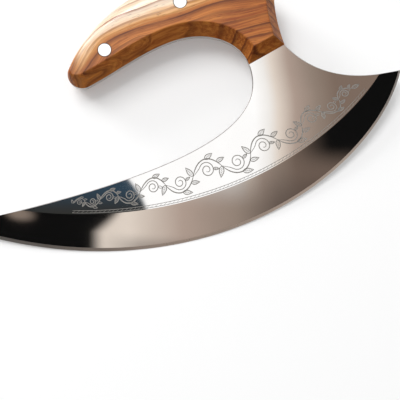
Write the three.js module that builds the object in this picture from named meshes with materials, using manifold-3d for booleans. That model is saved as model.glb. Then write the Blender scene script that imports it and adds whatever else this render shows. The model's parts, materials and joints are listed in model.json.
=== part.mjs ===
// An ulu: a crescent knife whose blade, neck and tang are one steel plate, with two wooden scales
// pinned to the tang. It lies on its back, on the cutting edge and the rim of the back scale.
//
// The flat plan is drawn first: the chord between the blade's tips lies along X, the handle is
// towards +Y, the front of the knife faces +Z, and z = 0 is the middle of the plate.
// Lengths are millimetres and angles are degrees, counted from +X.

import * as THREE from 'three';
import { mergeVertices } from 'three/addons/utils/BufferGeometryUtils.js';
import { ConvexHull } from 'three/addons/math/ConvexHull.js';
import Module from 'manifold-3d';

// Steel plate
const PLATE_THICKNESS = 3;
const CHORD = 217.5;

// Cutting edge: its slope at each tip and how far that slope carries
const EDGE_LEFT_ANGLE = 37.6;
const EDGE_LEFT_REACH = 119;
const EDGE_RIGHT_ANGLE = 56.8;
const EDGE_RIGHT_REACH = 49;

// Neck: the slanting line where the scales end and the open blade begins
const NECK_X = 43.3;
const NECK_Y = 25.5;
const NECK_WIDTH = 19;
const NECK_SLANT = 10.4;

// Spines: the blade's back on either side of the neck
const LEFT_SPINE_ANGLE = 7.1;
const LEFT_SPINE_REACH = 128;
const LEFT_SPINE_RISE = 24;
const RIGHT_SPINE_ANGLE = 5;
const RIGHT_SPINE_REACH = 13;
const RIGHT_SPINE_FLARE = 66.5;
const RIGHT_SPINE_RISE = 26;

// Grinds: the wide bevel narrows towards the tips, and a fine bevel makes the edge
const GRIND_WIDTH_LEFT = 13;
const GRIND_WIDTH_MIDDLE = 17.8;
const GRIND_WIDTH_RIGHT = 8;
const EDGE_BEVEL_WIDTH = 1.6;
const EDGE_BEVEL_THICKNESS = 0.7;
const EDGE_LAND = 0.1;

// Finger arch under the grip, and the crown over it
const ARCH_X = 14;
const ARCH_Y = 47.6;
const ARCH_REACH = 16.2;
const ARCH_FALL = 12.2;
const GRIP_DEPTH = 26.7;
const CROWN_X = 17.7;
const CROWN_REACH = 21;

// Nose: the grip's rounded free end
const NOSE_X = -29.8;
const NOSE_DROP = 7.4;
const NOSE_WIDTH = 11.3;
const NOSE_SLANT = 125;
const NOSE_INNER_ANGLE = 9;
const NOSE_INNER_REACH = 15;
const NOSE_OUTER_ANGLE = 49.4;
const NOSE_ROUNDING = 5;

// Heel: the rounded corner where the grip's crown meets the stem
const HEEL_RISE = 22;
const HEEL_FLARE = 2.8;
const HEEL_WIDTH = 8.4;
const HEEL_SLANT = 109;
const HEEL_STEM_ANGLE = 74;
const HEEL_CROWN_ANGLE = 142;
const HEEL_ROUNDING = 3.5;
const HEEL_CROWN_REACH = 16;
const STEM_REACH = 8;

// Scales: flat facets on the finger side, the neck and the stem, and a round shoulder on the crown
const SCALE_THICKNESS = 9;
const FACET_RUN = 4.6;
const SHOULDER_RUN = 9;
const NOSE_RUN = 2.5;
const BOND_LINE = 0.15;
const FLAT = 0;
const HALF_ROUND = 0.5;
const ROUND = 1;

// Pins: how far along the chord each one stands, and its share of the way across the handle there
const PIN_DIAMETER = 6;
const PIN_CLEARANCE = 0.1;
const PIN_RECESS = 0.05;
const FREE_END_PIN_X = -17.2;
const FREE_END_PIN_SHARE = 0.4;
const MIDDLE_PIN_X = 22.5;
const MIDDLE_PIN_SHARE = 0.54;
const STEM_PIN_X = 49.5;
const STEM_PIN_SHARE = 0.75;

// Densities in grams per cubic millimetre, for the way the knife lies
const STEEL_DENSITY = 0.0078;
const WOOD_DENSITY = 0.0009;

// Smoothness
const EDGE_STEPS = 72;
const SPINE_STEPS = 20;
const HANDLE_STEPS = 14;
const CORNER_STEPS = 8;
const SHOULDER_LEVELS = [0, 0.3, 0.55, 0.75, 0.9, 1];
const PIN_SIDES = 32;
const CUT_MARGIN = 6;

const STEEL = new THREE.MeshStandardMaterial({ color: 0xc9c7c4, roughness: 0.12, metalness: 1 });
const OLIVE_WOOD = new THREE.MeshStandardMaterial({ color: 0xb9804a, roughness: 0.38, metalness: 0 });
const PIN_STEEL = new THREE.MeshStandardMaterial({ color: 0xe4e3e1, roughness: 0.15, metalness: 1 });

const wasm = await Module();
wasm.setup();

// Plan: curves between named points

function polar(angle, length) {
  const turn = THREE.MathUtils.degToRad(angle);
  return new THREE.Vector2(Math.cos(turn), Math.sin(turn)).multiplyScalar(length);
}

function pointFrom(start, angle, length) {
  return start.clone().add(polar(angle, length));
}

// A smooth stretch that leaves one point and arrives at the next, each along an angle with a reach.
function bend(from, [leaveAngle, leaveReach], to, [arriveAngle, arriveReach]) {
  const leave = pointFrom(from, leaveAngle, leaveReach);
  const arrive = pointFrom(to, arriveAngle, -arriveReach);
  return new THREE.CubicBezierCurve(from, leave, arrive, to);
}

const leftTip = new THREE.Vector2(-CHORD / 2, 0);
const rightTip = new THREE.Vector2(CHORD / 2, 0);
const neckLeft = new THREE.Vector2(NECK_X, NECK_Y);
const neckRight = pointFrom(neckLeft, NECK_SLANT, NECK_WIDTH);
const heelInner = neckRight.clone().add(new THREE.Vector2(HEEL_FLARE, HEEL_RISE));
const heelOuter = pointFrom(heelInner, HEEL_SLANT, HEEL_WIDTH);
const crown = new THREE.Vector2(CROWN_X, ARCH_Y + GRIP_DEPTH);
const noseInner = new THREE.Vector2(NOSE_X, ARCH_Y - NOSE_DROP);
const noseOuter = pointFrom(noseInner, NOSE_SLANT, NOSE_WIDTH);
const arch = new THREE.Vector2(ARCH_X, ARCH_Y);

const edge = bend(
  leftTip, [-EDGE_LEFT_ANGLE, EDGE_LEFT_REACH],
  rightTip, [EDGE_RIGHT_ANGLE, EDGE_RIGHT_REACH]);

const rightSpine = bend(
  rightTip, [180 - RIGHT_SPINE_ANGLE, RIGHT_SPINE_REACH],
  neckRight, [180 - RIGHT_SPINE_FLARE, RIGHT_SPINE_RISE]);

const leftSpine = bend(
  neckLeft, [-90, LEFT_SPINE_RISE],
  leftTip, [180 - LEFT_SPINE_ANGLE, LEFT_SPINE_REACH]);

// The handle's outline runs counter-clockwise from the right of the neck to its left. At each knot it
// travels along an angle, and the scale's side there leans in by a run, flat or round.
const handleKnots = [
  { at: neckRight, travel: 90, run: FACET_RUN, round: FLAT },
  { at: heelInner, travel: HEEL_STEM_ANGLE, run: FACET_RUN, round: FLAT },
  { at: heelOuter, travel: HEEL_CROWN_ANGLE, run: FACET_RUN, round: HALF_ROUND },
  { at: crown, travel: 180, run: SHOULDER_RUN, round: ROUND },
  { at: noseOuter, travel: 180 + NOSE_OUTER_ANGLE, run: NOSE_RUN, round: ROUND },
  { at: noseInner, travel: NOSE_INNER_ANGLE, run: FACET_RUN, round: FLAT },
  { at: arch, travel: 0, run: FACET_RUN, round: FLAT },
  { at: neckLeft, travel: -90, run: FACET_RUN, round: FLAT },
];

// The stretches between those knots, each with the reach that it leaves and arrives with.
const handleStretches = [
  { reaches: [STEM_REACH, STEM_REACH], steps: HANDLE_STEPS },
  { reaches: [HEEL_ROUNDING, HEEL_ROUNDING], steps: CORNER_STEPS },
  { reaches: [HEEL_CROWN_REACH, HEEL_CROWN_REACH], steps: HANDLE_STEPS },
  { reaches: [CROWN_REACH, CROWN_REACH], steps: HANDLE_STEPS },
  { reaches: [NOSE_ROUNDING, NOSE_ROUNDING], steps: CORNER_STEPS },
  { reaches: [NOSE_INNER_REACH, NOSE_INNER_REACH], steps: HANDLE_STEPS },
  { reaches: [ARCH_REACH, ARCH_FALL], steps: HANDLE_STEPS },
];

// The points of a curve without its last one.
function openPoints(curve, steps) {
  return curve.getPoints(steps).slice(0, -1);
}

// The handle's outline at a level of the scales, 0 at the tang and 1 at their outer face: the knots move
// in as far as the sides lean, and each stretch is drawn again with its reaches in proportion.
function handleOutline(level) {
  const quarterRound = 1 - Math.sqrt(1 - level * level);
  const moved = handleKnots.map(({ at, travel, run, round }) =>
    pointFrom(at, travel + 90, run * THREE.MathUtils.lerp(level, quarterRound, round)));
  const stretches = handleStretches.flatMap(({ reaches, steps }, i) => {
    const [from, to] = [handleKnots[i], handleKnots[i + 1]];
    const growth = moved[i].distanceTo(moved[i + 1]) / from.at.distanceTo(to.at);
    const [leave, arrive] = reaches.map((reach) => reach * growth);
    return openPoints(bend(moved[i], [from.travel, leave], moved[i + 1], [to.travel, arrive]), steps);
  });
  return [...stretches, moved.at(-1)];
}

const tangOutline = handleOutline(0);
const plateOutline = [
  ...openPoints(edge, EDGE_STEPS),
  ...openPoints(rightSpine, SPINE_STEPS),
  ...tangOutline,
  ...leftSpine.getPoints(SPINE_STEPS).slice(1, -1),
];

// Solids

// A closed mesh over rings of equally many points, which run counter-clockwise seen from the last
// ring's side. The two end rings are capped by the triangles of their flat shapes.
function loft(rings, flatStart, flatEnd) {
  const count = rings[0].length;
  const top = (rings.length - 1) * count;
  const startCap = THREE.ShapeUtils.triangulateShape(flatStart, []);
  const endCap = THREE.ShapeUtils.triangulateShape(flatEnd, []);
  const index = startCap.flatMap(([a, b, c]) => [a, c, b]);
  for (const corners of endCap) index.push(...corners.map((corner) => top + corner));
  for (let k = 0; k < rings.length - 1; k += 1) {
    for (let i = 0; i < count; i += 1) {
      const low = k * count + i;
      const lowNext = k * count + (i + 1) % count;
      index.push(low, lowNext, lowNext + count, low, lowNext + count, low + count);
    }
  }
  const geometry = new THREE.BufferGeometry().setFromPoints(rings.flat());
  geometry.setIndex(index);
  return geometry;
}

function solid(geometry) {
  const bare = geometry.clone();
  bare.deleteAttribute('normal');
  bare.deleteAttribute('uv');
  const merged = mergeVertices(bare);
  return new wasm.Manifold(new wasm.Mesh({
    numProp: 3,
    vertProperties: new Float32Array(merged.attributes.position.array),
    triVerts: new Uint32Array(merged.index.array),
  }));
}

function geometryOf(manifold) {
  const { vertProperties, triVerts } = manifold.getMesh();
  const geometry = new THREE.BufferGeometry();
  geometry.setAttribute('position', new THREE.BufferAttribute(new Float32Array(vertProperties), 3));
  geometry.setIndex(new THREE.BufferAttribute(new Uint32Array(triVerts), 1));
  geometry.computeVertexNormals();
  return geometry;
}

function named(name, geometry, material) {
  const mesh = new THREE.Mesh(geometry, material);
  mesh.name = name;
  return mesh;
}

// Pins

// A point on the line across the handle at x, at a share of the way from its lower to its upper side.
function acrossHandle(x, share) {
  const sides = [];
  tangOutline.forEach((a, i) => {
    const b = tangOutline[(i + 1) % tangOutline.length];
    if ((a.x <= x) !== (b.x <= x)) sides.push(THREE.MathUtils.lerp(a.y, b.y, (x - a.x) / (b.x - a.x)));
  });
  return new THREE.Vector2(x, THREE.MathUtils.lerp(Math.min(...sides), Math.max(...sides), share));
}

const pinPlaces = {
  free_end_pin: acrossHandle(FREE_END_PIN_X, FREE_END_PIN_SHARE),
  middle_pin: acrossHandle(MIDDLE_PIN_X, MIDDLE_PIN_SHARE),
  stem_pin: acrossHandle(STEM_PIN_X, STEM_PIN_SHARE),
};

function pinRod({ x, y }, radius, halfLength) {
  const rod = new THREE.CylinderGeometry(radius, radius, 2 * halfLength, PIN_SIDES);
  return rod.rotateX(Math.PI / 2).translate(x, y, 0);
}

function drill(blank) {
  const radius = PIN_DIAMETER / 2 + PIN_CLEARANCE;
  const halfLength = scaleHeight(1, 1) + CUT_MARGIN;
  return Object.values(pinPlaces).reduce(
    (rest, place) => rest.subtract(solid(pinRod(place, radius, halfLength))), blank);
}

// Blade

// Width of the wide bevel at t along the edge.
function grindWidth(t) {
  const lift = 2 * GRIND_WIDTH_MIDDLE - (GRIND_WIDTH_LEFT + GRIND_WIDTH_RIGHT) / 2;
  const widths = [GRIND_WIDTH_LEFT, lift, GRIND_WIDTH_RIGHT].map((w) => new THREE.Vector2(w, 0));
  return new THREE.QuadraticBezierCurve(...widths).getPoint(t).x;
}

// What the grinder takes off one face beside the edge (side 1 the front, -1 the back): a wedge whose
// section, in inward distance and height, runs over the fine bevel and the wide one to past the face.
function grindSection(t, side) {
  const half = PLATE_THICKNESS / 2;
  const shoulder = new THREE.Vector2(EDGE_BEVEL_WIDTH, EDGE_BEVEL_THICKNESS / 2);
  const fineSlope = (EDGE_BEVEL_THICKNESS - EDGE_LAND) / 2 / EDGE_BEVEL_WIDTH;
  const wideSlope = (half - shoulder.y) / (grindWidth(t) - shoulder.x);
  const over = half + wideSlope * CUT_MARGIN;
  const section = [
    new THREE.Vector2(-CUT_MARGIN, EDGE_LAND / 2 - fineSlope * CUT_MARGIN),
    shoulder,
    new THREE.Vector2(grindWidth(t) + CUT_MARGIN, over),
    new THREE.Vector2(-CUT_MARGIN, over),
  ];
  if (side > 0) return section;
  return section.reverse().map(({ x, y }) => new THREE.Vector2(x, -y));
}

function grindWedge(side) {
  const stations = Array.from({ length: EDGE_STEPS + 1 }, (_, i) => i / EDGE_STEPS);
  const rings = stations.map((t) => {
    const along2d = edge.getTangent(t);
    const inward = new THREE.Vector2(-along2d.y, along2d.x);
    const overrun = (t === 1 ? 1 : 0) - (t === 0 ? 1 : 0);
    const at = edge.getPoint(t).addScaledVector(along2d, overrun * CUT_MARGIN);
    return grindSection(t, side).map(({ x, y }) => {
      const place = at.clone().addScaledVector(inward, x);
      return new THREE.Vector3(place.x, place.y, y);
    });
  });
  return solid(loft(rings, grindSection(0, side), grindSection(1, side)));
}

function bladeGeometry() {
  const plate = new THREE.ExtrudeGeometry(new THREE.Shape(plateOutline), {
    depth: PLATE_THICKNESS, bevelEnabled: false,
  });
  const ground = solid(plate.translate(0, 0, -PLATE_THICKNESS / 2))
    .subtract(grindWedge(1))
    .subtract(grindWedge(-1));
  return geometryOf(drill(ground));
}

// Scales

// Height of a scale's level, 0 at the tang and 1 at its outer face, on one side (1 the front, -1 the back).
function scaleHeight(level, side) {
  return side * (PLATE_THICKNESS / 2 + BOND_LINE + level * SCALE_THICKNESS);
}

// A loft of level rings, lowest first, whose flat shapes are given for each level of one side.
function levelLoft(levels, side, flatAt) {
  const rising = side > 0 ? levels : [...levels].reverse();
  const flats = rising.map(flatAt);
  const rings = flats.map((flat, k) => {
    const z = scaleHeight(rising[k], side);
    return flat.map(({ x, y }) => new THREE.Vector3(x, y, z));
  });
  return solid(loft(rings, flats[0], flats.at(-1)));
}

// The waste past the neck, whose upper side leans back over the handle as the other facets do. It is
// wider than the neck by the neck's width on each side, and as long.
function neckWaste(side) {
  const square = NECK_SLANT + 90;
  const levels = [-CUT_MARGIN / SCALE_THICKNESS, 1 + CUT_MARGIN / SCALE_THICKNESS];
  return levelLoft(levels, side, (level) => {
    const left = pointFrom(pointFrom(neckLeft, NECK_SLANT, -NECK_WIDTH), square, level * FACET_RUN);
    const right = pointFrom(pointFrom(neckRight, NECK_SLANT, NECK_WIDTH), square, level * FACET_RUN);
    return [pointFrom(left, square, -NECK_WIDTH), pointFrom(right, square, -NECK_WIDTH), right, left];
  });
}

// A scale is a loft of the handle's outline, run straight on past the neck and then cut off there.
function scaleGeometry(side) {
  const pastNeck = new THREE.Vector2(0, -CUT_MARGIN);
  const body = levelLoft(SHOULDER_LEVELS, side, (level) => {
    const outline = handleOutline(level);
    const [right, left] = [outline[0], outline.at(-1)].map((end) => end.clone().add(pastNeck));
    return [right, ...outline, left];
  });
  return geometryOf(drill(body.subtract(neckWaste(side))));
}

// Assembly

const knife = new THREE.Group();
knife.add(
  named('blade', bladeGeometry(), STEEL),
  named('front_scale', scaleGeometry(1), OLIVE_WOOD),
  named('back_scale', scaleGeometry(-1), OLIVE_WOOD),
);
for (const [name, place] of Object.entries(pinPlaces)) {
  knife.add(named(name, pinRod(place, PIN_DIAMETER / 2, scaleHeight(1, 1) - PIN_RECESS), PIN_STEEL));
}

// Volume of a closed mesh and the moment of that volume about the origin.
function volumeMoment(geometry) {
  const flat = geometry.index ? geometry.toNonIndexed() : geometry;
  const corners = flat.attributes.position;
  const moment = new THREE.Vector3();
  let volume = 0;
  for (let i = 0; i < corners.count; i += 3) {
    const [a, b, c] = [0, 1, 2].map((k) => new THREE.Vector3().fromBufferAttribute(corners, i + k));
    const part = a.dot(b.clone().cross(c)) / 6;
    volume += part;
    moment.addScaledVector(a.add(b).add(c), part / 4);
  }
  return { volume, moment };
}

function centreOfMass(meshes) {
  const total = new THREE.Vector3();
  let mass = 0;
  for (const { geometry, material } of meshes) {
    const density = material === OLIVE_WOOD ? WOOD_DENSITY : STEEL_DENSITY;
    const { volume, moment } = volumeMoment(geometry);
    total.addScaledVector(moment, density);
    mass += volume * density;
  }
  return total.divideScalar(mass);
}

// Laid on its back, the knife settles on the face of its hull that is nearest its centre of mass.
function settledFace(meshes) {
  const centre = centreOfMass(meshes);
  const backFaces = new ConvexHull().setFromObject(knife).faces.filter(({ normal }) => normal.z < 0);
  const depth = (face) => -face.distanceToPoint(centre);
  return backFaces.reduce((nearest, face) => (depth(face) < depth(nearest) ? face : nearest));
}

const DOWN = new THREE.Vector3(0, 0, -1);
knife.quaternion.setFromUnitVectors(settledFace(knife.children).normal, DOWN);
knife.updateMatrixWorld(true);
const box = new THREE.Box3().setFromObject(knife, true);
knife.position.set(-(box.min.x + box.max.x) / 2, -(box.min.y + box.max.y) / 2, -box.min.z);

const ulu = new THREE.Group();
ulu.add(knife);

export default ulu;
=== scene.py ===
# %% [markdown]
# # An ulu knife
# An ulu is a crescent knife. One steel plate is its blade, its neck and the tang inside the handle, and
# two wooden scales are pinned to that tang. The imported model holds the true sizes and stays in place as
# the frame. In this lesson each of its solids gets a finer mesh of the same shape, and a finish that is
# made of shader nodes alone.

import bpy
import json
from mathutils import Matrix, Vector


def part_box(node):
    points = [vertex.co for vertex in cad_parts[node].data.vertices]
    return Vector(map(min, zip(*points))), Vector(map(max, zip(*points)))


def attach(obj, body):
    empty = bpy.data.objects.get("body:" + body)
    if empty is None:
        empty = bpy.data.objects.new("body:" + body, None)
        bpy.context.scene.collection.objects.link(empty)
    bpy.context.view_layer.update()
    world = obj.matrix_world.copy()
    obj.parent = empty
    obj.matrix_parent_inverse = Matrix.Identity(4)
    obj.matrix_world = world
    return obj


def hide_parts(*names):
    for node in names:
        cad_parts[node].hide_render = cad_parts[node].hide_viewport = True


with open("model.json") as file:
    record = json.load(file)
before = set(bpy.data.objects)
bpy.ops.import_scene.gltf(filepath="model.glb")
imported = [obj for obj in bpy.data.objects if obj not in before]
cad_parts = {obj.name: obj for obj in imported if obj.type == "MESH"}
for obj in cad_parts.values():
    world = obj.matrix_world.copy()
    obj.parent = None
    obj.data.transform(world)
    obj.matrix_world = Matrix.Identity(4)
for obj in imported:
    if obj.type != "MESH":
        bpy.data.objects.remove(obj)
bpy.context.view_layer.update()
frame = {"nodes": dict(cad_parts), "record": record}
print("solids in the frame:", ", ".join(sorted(frame["nodes"])))

# %% Modules
import json
import math
from bisect import bisect
from collections import namedtuple

import bmesh
import bpy
from mathutils import Matrix, Vector

MM = 0.001
print("Blender", bpy.app.version_string)

# %% [markdown]
# ## The drawing
# A knife maker draws a knife flat, with a batten bent through a few points. A Bezier stretch does the
# same: it leaves one point and arrives at the next, each along an angle and with a reach. It could be a
# curve object, but the blade, the scales and the ornament all need the points, so it is a small class.
# The plan is in millimetres: X along the chord between the tips, Y towards the handle, Z out of the front.

# %% A bent batten
def polar(angle, length):
    """A step of some length along an angle in degrees."""
    turn = math.radians(angle)
    return Vector((math.cos(turn), math.sin(turn))) * length


class Batten:
    """A smooth stretch between two points. It leaves and arrives along (angle, reach)."""

    def __init__(self, start, leave, end, arrive):
        self.knots = (start, start + polar(*leave), end - polar(*arrive), end)

    def point(self, t):
        a, b, c, d = self.knots
        u = 1 - t
        return a * u**3 + b * (3 * u * u * t) + c * (3 * u * t * t) + d * t**3

    def along(self, t):
        a, b, c, d = self.knots
        u = 1 - t
        return ((b - a) * u * u + (c - b) * (2 * u * t) + (d - c) * t * t).normalized()

    def inward(self, t):
        along = self.along(t)
        return Vector((-along.y, along.x))

    def points(self, steps):
        return [self.point(i / steps) for i in range(steps + 1)]


print("a step of 2 mm at 30 degrees:", [round(value, 2) for value in polar(30, 2)])

# %% Blade sizes
PLATE = 3.0
CHORD = 217.5
EDGE_LEFT = (-37.6, 119)
EDGE_RIGHT = (56.8, 49)
EDGE_STEPS = 160
NECK_LEFT = Vector((43.3, 25.5))
NECK_WIDTH = 19.0
NECK_SLANT = 10.4
LEFT_SPINE_ANGLE, LEFT_SPINE_REACH, LEFT_SPINE_RISE = 7.1, 128, 24
RIGHT_SPINE_ANGLE, RIGHT_SPINE_REACH = 5, 13
RIGHT_SPINE_FLARE, RIGHT_SPINE_RISE = 66.5, 26

left_tip = Vector((-CHORD / 2, 0))
right_tip = Vector((CHORD / 2, 0))
neck_right = NECK_LEFT + polar(NECK_SLANT, NECK_WIDTH)
edge = Batten(left_tip, EDGE_LEFT, right_tip, EDGE_RIGHT)
right_spine = Batten(right_tip, (180 - RIGHT_SPINE_ANGLE, RIGHT_SPINE_REACH),
                     neck_right, (180 - RIGHT_SPINE_FLARE, RIGHT_SPINE_RISE))
left_spine = Batten(NECK_LEFT, (-90, LEFT_SPINE_RISE),
                    left_tip, (180 - LEFT_SPINE_ANGLE, LEFT_SPINE_REACH))
print("deepest point of the edge, mm:", round(min(p.y for p in edge.points(EDGE_STEPS)), 1))

# %% [markdown]
# The handle's outline runs from the right of the neck over the heel, the crown, the nose and the finger
# arch to the left of the neck. The sides of a scale lean in from the tang to its outer face: flat facets
# on the finger side, the stem and the neck, and a round shoulder on the crown. So the outline is drawn
# again at each height, from knots that have moved in as far as the side leans there. A knot has a place,
# an angle of travel, the run of its lean, and a rounding from 0 for flat to 1 for round.

# %% Handle outline
ARCH = Vector((14, 47.6))
GRIP_DEPTH = 26.7
CROWN_X = 17.7
NOSE_X, NOSE_DROP, NOSE_WIDTH, NOSE_SLANT = -29.8, 7.4, 11.3, 125
HEEL_FLARE, HEEL_RISE, HEEL_WIDTH, HEEL_SLANT = 2.8, 22, 8.4, 109
FACET_RUN = 4.6
SHOULDER_RUN = 9.0
NOSE_RUN = 2.5
SCALE_THICKNESS = 9.0
RIDGE_EASE = 0.35
HANDLE_STEPS = 30
CORNER_STEPS = 18

heel_inner = neck_right + Vector((HEEL_FLARE, HEEL_RISE))
heel_outer = heel_inner + polar(HEEL_SLANT, HEEL_WIDTH)
crown = Vector((CROWN_X, ARCH.y + GRIP_DEPTH))
nose_inner = Vector((NOSE_X, ARCH.y - NOSE_DROP))
nose_outer = nose_inner + polar(NOSE_SLANT, NOSE_WIDTH)

Knot = namedtuple("Knot", "at travel run rounding")
HANDLE_KNOTS = [
    Knot(neck_right, 90, FACET_RUN, 0),
    Knot(heel_inner, 74, FACET_RUN, 0),
    Knot(heel_outer, 142, FACET_RUN, 0.5),
    Knot(crown, 180, SHOULDER_RUN, 1),
    Knot(nose_outer, 229.4, NOSE_RUN, 1),
    Knot(nose_inner, 9, FACET_RUN, 0),
    Knot(ARCH, 0, FACET_RUN, 0),
    Knot(NECK_LEFT, -90, FACET_RUN, 0),
]
Stretch = namedtuple("Stretch", "leave arrive steps")
HANDLE_STRETCHES = [
    Stretch(8, 8, HANDLE_STEPS),
    Stretch(3.5, 3.5, CORNER_STEPS),
    Stretch(16, 16, HANDLE_STEPS),
    Stretch(21, 21, HANDLE_STEPS),
    Stretch(5, 5, CORNER_STEPS),
    Stretch(15, 15, HANDLE_STEPS),
    Stretch(16.2, 12.2, HANDLE_STEPS),
]


def lean_in(knot, rise):
    """How far the side has leaned in at a rise of 0 to 90 degrees, whose sine is the height."""
    level = math.sin(math.radians(rise))
    start_of_ease = 1 - RIDGE_EASE / SCALE_THICKNESS
    into_ease = max(0, (level - start_of_ease) / (1 - start_of_ease))
    eased = RIDGE_EASE * (1 - math.sqrt(max(0, 1 - into_ease**2)))
    flat = knot.run * level + eased
    round_shoulder = knot.run * (1 - math.cos(math.radians(rise)))
    return flat + (round_shoulder - flat) * knot.rounding


def handle_outline(rise):
    moved = [knot.at + polar(knot.travel + 90, lean_in(knot, rise)) for knot in HANDLE_KNOTS]
    outline = []
    for i, stretch in enumerate(HANDLE_STRETCHES):
        start, end = HANDLE_KNOTS[i], HANDLE_KNOTS[i + 1]
        growth = (moved[i + 1] - moved[i]).length / (end.at - start.at).length
        batten = Batten(moved[i], (start.travel, stretch.leave * growth),
                        moved[i + 1], (end.travel, stretch.arrive * growth))
        outline += batten.points(stretch.steps)[:-1]
    return outline + [moved[-1]]


tang = handle_outline(0)
print("points round the tang:", len(tang))

# %% [markdown]
# ## Where the knife lies
# The knife lies on its back, so its plate leans a few degrees to the floor. Each mesh is drawn flat, and
# one matrix lays it down. The lean is that of the mount on the blade's back, and the place is that of a
# pin, so the matrix follows the frame when the frame changes.

# %% From the plan to the floor
PIN_DIAMETER = 6.0
PIN_SPOTS = {"free_end_pin": (-17.2, 0.4), "middle_pin": (22.5, 0.54), "stem_pin": (49.5, 0.75)}


def across_handle(x, share):
    """The point at x that is a share of the way from the handle's lower side to its upper one."""
    crossings = []
    for a, b in zip(tang, tang[1:] + tang[:1]):
        if (a.x <= x) != (b.x <= x):
            crossings.append(a.y + (b.y - a.y) * (x - a.x) / (b.x - a.x))
    low, high = min(crossings), max(crossings)
    return Vector((x, low + (high - low) * share))


pin_places = {name: across_handle(*spot) for name, spot in PIN_SPOTS.items()}
back_normal = Vector(frame["record"]["mounts"][0]["axis"])
lean = Vector((0, 0, -1)).rotation_difference(back_normal).to_matrix().to_4x4()
low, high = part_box("free_end_pin")
pin_middle = pin_places["free_end_pin"].to_3d() * MM
KNIFE = Matrix.Translation((low + high) / 2 - lean @ pin_middle) @ lean
print("lean in degrees:", round(math.degrees(KNIFE.to_quaternion().angle), 2))

# %% [markdown]
# ## Writing finishes as sums
# A finish is a tree of shader nodes. Linking Math nodes by hand hides the thought behind them, so a
# strand wraps one socket and Python's own operators add the Math nodes. One method adds every other kind
# of node: its settings come first, because they decide which sockets it has, and then its inputs.

# %% Strands
class Strand:
    """An output of a node tree. Sums of strands add Math nodes to that tree."""

    def __init__(self, tree, socket=None):
        self.tree = tree
        self.socket = socket

    def node(self, kind, settings=None, inputs=None, out=0):
        node = self.tree.nodes.new(kind)
        for setting, value in (settings or {}).items():
            if setting == "stops":
                self.set_stops(node.color_ramp, value)
            else:
                setattr(node, setting, value)
        for key, value in (inputs or {}).items():
            socket = self.find(node.inputs, key)
            if isinstance(value, Strand):
                self.tree.links.new(value.socket, socket)
            else:
                socket.default_value = value
        return Strand(self.tree, self.find(node.outputs, out) if node.outputs else None)

    @staticmethod
    def find(sockets, key):
        if isinstance(key, int):
            return sockets[key]
        return next(socket for socket in sockets if socket.name == key and socket.enabled)

    @staticmethod
    def set_stops(ramp, stops):
        while len(ramp.elements) < len(stops):
            ramp.elements.new(1)
        for element, (position, colour) in zip(ramp.elements, stops):
            element.position = position
            element.color = colour

    def math(self, operation, *values):
        return self.node("ShaderNodeMath", {"operation": operation}, dict(enumerate(values)))

    def __add__(self, other):
        return self.math("ADD", self, other)

    def __sub__(self, other):
        return self.math("SUBTRACT", self, other)

    def __rsub__(self, other):
        return self.math("SUBTRACT", other, self)

    def __mul__(self, other):
        return self.math("MULTIPLY", self, other)

    def __truediv__(self, other):
        return self.math("DIVIDE", self, other)

    __radd__ = __add__
    __rmul__ = __mul__


def srgb(red, green, blue):
    """A colour as a screen shows it, 0 to 255, turned into the light that a shader works with."""
    screen = [value / 255 for value in (red, green, blue)]
    return tuple(v / 12.92 if v <= 0.04045 else ((v + 0.055) / 1.055) ** 2.4 for v in screen) + (1,)


print("middle grey as light:", round(srgb(128, 128, 128)[0], 3))

# %% Common steps of a finish
MIDTONES = (0.35, 0.65)


def start_finish(name):
    """An empty material, and the place on the plan in millimetres of what is being shaded."""
    finish = bpy.data.materials.new(name)
    finish.use_nodes = True
    finish.node_tree.nodes.clear()
    tree = Strand(finish.node_tree)
    return finish, tree.node("ShaderNodeAttribute", {"attribute_name": "plan"}, out="Vector")


def end_finish(place, **inputs):
    """The shader itself. Underscores in the names of its inputs stand for spaces."""
    named = {name.replace("_", " "): value for name, value in inputs.items()}
    shader = place.node("ShaderNodeBsdfPrincipled", None, named)
    place.node("ShaderNodeOutputMaterial", None, {"Surface": shader})


def split(place):
    node = place.node("ShaderNodeSeparateXYZ", None, {0: place}).socket.node
    return [Strand(place.tree, socket) for socket in node.outputs]


def join(x, y, z):
    return x.node("ShaderNodeCombineXYZ", None, {0: x, 1: y, 2: z})


def noise(place, scale, detail=2.0, roughness=0.5):
    return place.node("ShaderNodeTexNoise", None,
                      {"Vector": place, "Scale": scale, "Detail": detail, "Roughness": roughness})


def grain(x, y, z, scales, detail, roughness=0.5):
    """Noise with a scale for each axis. It is drawn out along an axis whose scale is small."""
    drawn_out = join(x * scales[0], y * scales[1], z * scales[2])
    return noise(drawn_out, 1.0, detail, roughness)


def fade(value, start, end):
    """0 at start, 1 at end, with a soft change between."""
    return value.node("ShaderNodeMapRange", {"interpolation_type": "SMOOTHSTEP"},
                      {"Value": value, "From Min": start, "From Max": end})


def blend(factor, first, second):
    return factor.node("ShaderNodeMix", {"data_type": "RGBA"},
                       {"Factor": factor, "A": first, "B": second}, out="Result")


def bump(height, depth_mm):
    return height.node("ShaderNodeBump", None, {"Height": height, "Distance": depth_mm * MM})


print("most of a noise lies between", *MIDTONES)

# %% [markdown]
# ## Steel finishes
# The flats and the wide bevel are polished to a mirror. A mirror has hardly any colour of its own, and
# what makes it steel is how slightly it blurs: polishing leaves fine streaks that run from the spine to
# the edge, and they show as a roughness that changes a little. The streaks could be a picture. Noise that
# is squeezed one way gives the same and has no end. The fine edge bevel comes off a stone and stays satin.

# %% Steel
STEEL = (0.79, 0.78, 0.77, 1)
HONED_STEEL = srgb(206, 199, 193)
SPINE_STEEL = srgb(188, 185, 181)
STREAK_SCALES = (2.2, 0.06, 1.0)
CLOUD_SCALE, CLOUD_RANGE = 0.05, (0.3, 0.7)
CLOUD_SHADE, CLOUD_BLUR = 0.96, 0.5


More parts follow.
